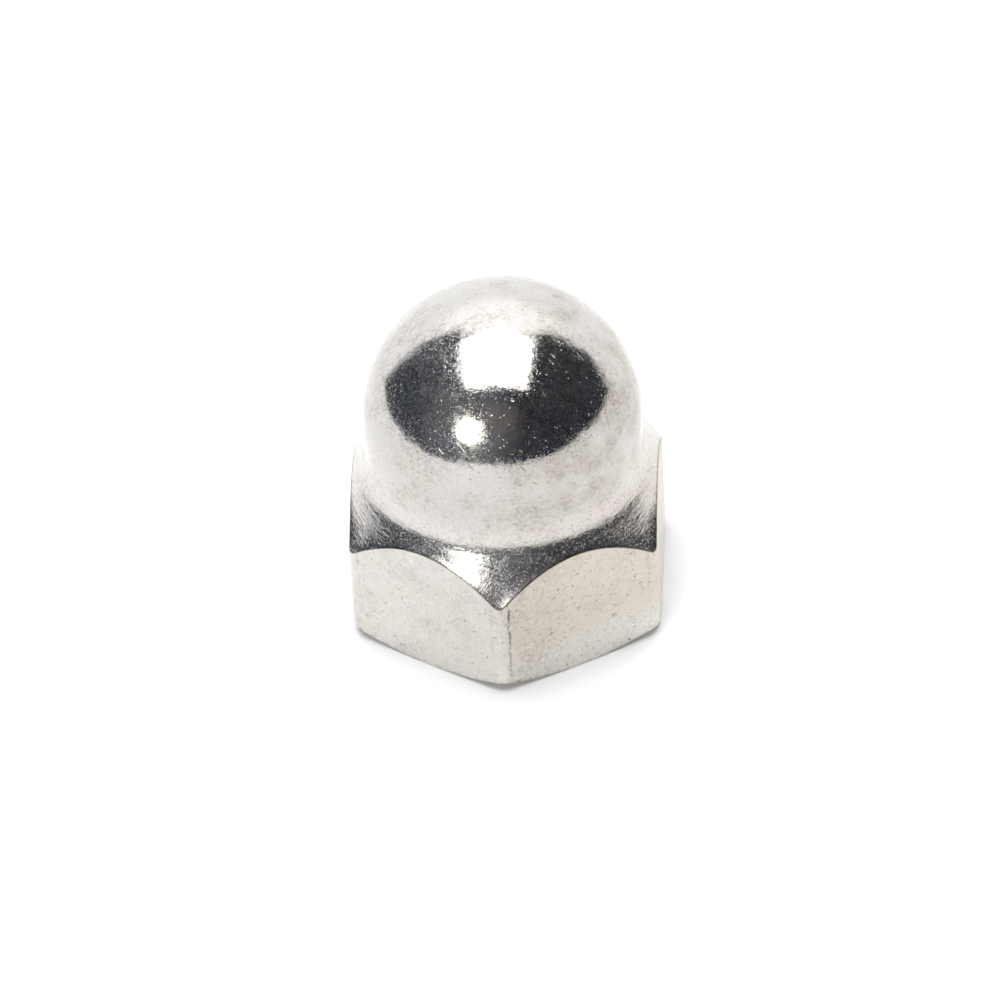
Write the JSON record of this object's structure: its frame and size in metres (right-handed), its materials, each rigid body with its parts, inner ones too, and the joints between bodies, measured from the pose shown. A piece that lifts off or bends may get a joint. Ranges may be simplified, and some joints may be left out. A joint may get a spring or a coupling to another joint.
{
  "type": "cap nut",
  "caption": "High domed cap nut: a hexagon that runs through a sloped shoulder into a smooth closed dome, with a blind threaded hole in its flat bearing face.",
  "frame": {"origin": "middle of the flat bearing face, where the threaded hole opens", "axes": "+Z along the thread axis towards the top of the dome, with two opposite corners of the hexagon on the Y axis"},
  "size_m": [0.013, 0.0148, 0.015],
  "materials": {
    "nickel_plate": "bright nickel plate on steel, barrel-finished, with fine scratches, specks and faint brown stains"
  },
  "bodies": {
    "root": {"cap_nut": "nickel_plate"}
  },
  "joints": []
}
